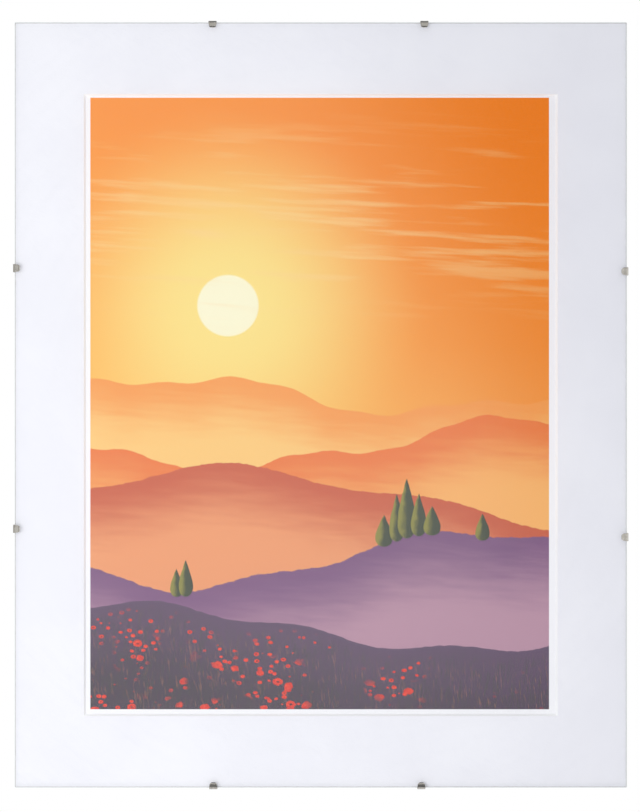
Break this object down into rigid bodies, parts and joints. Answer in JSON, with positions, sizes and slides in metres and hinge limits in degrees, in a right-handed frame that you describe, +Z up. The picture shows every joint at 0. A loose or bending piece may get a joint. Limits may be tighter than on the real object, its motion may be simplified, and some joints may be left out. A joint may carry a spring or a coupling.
{
  "type": "clip frame",
  "caption": "Frameless clip picture frame: glass, bevelled mat, print and hardboard back held together by bent spring clips hooked over the glass edge, with swinging wire hanger rings.",
  "frame": {"origin": "the point inside the top of the portrait hanger ring where a wall nail carries the frame", "axes": "+X to the right across the picture, +Y from the viewer to the wall, +Z up the picture"},
  "size_m": [0.402, 0.0113, 0.502],
  "materials": {
    "clear_glass": "clear float glass with ground edges",
    "mat_card": "matt white card",
    "picture_paper": "satin print, misty hills in orange, yellow and plum",
    "hardboard": "smooth brown hardboard, sawn edges",
    "clip_steel": "bright nickel plate",
    "hanger_steel": "zinc plate",
    "hanger_wire": "bright zinc-plated wire",
    "eyelet_brass": "brass plate"
  },
  "bodies": {
    "pack": {"glass_pane": "clear_glass", "mat_board": "mat_card", "picture_sheet": "picture_paper", "backing_board": "hardboard", "portrait_strap": "hanger_steel", "portrait_eyelet": "eyelet_brass", "landscape_strap": "hanger_steel", "landscape_eyelet": "eyelet_brass"},
    "clip_top_left": {"clip_top_left": "clip_steel"},
    "clip_top_right": {"clip_top_right": "clip_steel"},
    "clip_bottom_left": {"clip_bottom_left": "clip_steel"},
    "clip_bottom_right": {"clip_bottom_right": "clip_steel"},
    "clip_left_upper": {"clip_left_upper": "clip_steel"},
    "clip_left_lower": {"clip_left_lower": "clip_steel"},
    "clip_right_upper": {"clip_right_upper": "clip_steel"},
    "clip_right_lower": {"clip_right_lower": "clip_steel"},
    "portrait_ring": {"portrait_ring": "hanger_wire"},
    "landscape_ring": {"landscape_ring": "hanger_wire"}
  },
  "joints": [
    {"name": "clip_top_left_lift", "type": "hinge", "parent": "pack", "child": "clip_top_left", "pos_m": [-0.0707, -0.01003, 0.02752], "axis": [1, 0, 0], "range_deg": [0, 80], "stiffness_Nm_per_rad": 0.1, "springref_deg": -28.65},
    {"name": "clip_top_right_lift", "type": "hinge", "parent": "pack", "child": "clip_top_right", "pos_m": [0.0677, -0.01003, 0.02752], "axis": [1, 0, 0], "range_deg": [0, 80], "stiffness_Nm_per_rad": 0.1, "springref_deg": -28.65},
    {"name": "clip_bottom_left_lift", "type": "hinge", "parent": "pack", "child": "clip_bottom_left", "pos_m": [-0.07022, -0.01003, -0.46758], "axis": [-1, 0, 0], "range_deg": [0, 80], "stiffness_Nm_per_rad": 0.1, "springref_deg": -28.65},
    {"name": "clip_bottom_right_lift", "type": "hinge", "parent": "pack", "child": "clip_bottom_right", "pos_m": [0.06572, -0.01003, -0.46758], "axis": [-1, 0, 0], "range_deg": [0, 80], "stiffness_Nm_per_rad": 0.1, "springref_deg": -28.65},
    {"name": "clip_left_upper_lift", "type": "hinge", "parent": "pack", "child": "clip_left_upper", "pos_m": [-0.19755, -0.01003, -0.13061], "axis": [0, 0, 1], "range_deg": [0, 80], "stiffness_Nm_per_rad": 0.1, "springref_deg": -28.65},
    {"name": "clip_left_lower_lift", "type": "hinge", "parent": "pack", "child": "clip_left_lower", "pos_m": [-0.19755, -0.01003, -0.30093], "axis": [0, 0, 1], "range_deg": [0, 80], "stiffness_Nm_per_rad": 0.1, "springref_deg": -28.65},
    {"name": "clip_right_upper_lift", "type": "hinge", "parent": "pack", "child": "clip_right_upper", "pos_m": [0.19755, -0.01003, -0.13265], "axis": [0, 0, -1], "range_deg": [0, 80], "stiffness_Nm_per_rad": 0.1, "springref_deg": -28.65},
    {"name": "clip_right_lower_lift", "type": "hinge", "parent": "pack", "child": "clip_right_lower", "pos_m": [0.19755, -0.01003, -0.30633], "axis": [0, 0, -1], "range_deg": [0, 80], "stiffness_Nm_per_rad": 0.1, "springref_deg": -28.65},
    {"name": "portrait_ring_swing", "type": "hinge", "parent": "pack", "child": "portrait_ring", "pos_m": [0, 0, -0.01503], "axis": [-1, 0, 0], "range_deg": [0, 170]},
    {"name": "landscape_ring_swing", "type": "hinge", "parent": "pack", "child": "landscape_ring", "pos_m": [-0.155, 0, -0.22003], "axis": [0, 0, -1], "range_deg": [0, 170]}
  ]
}
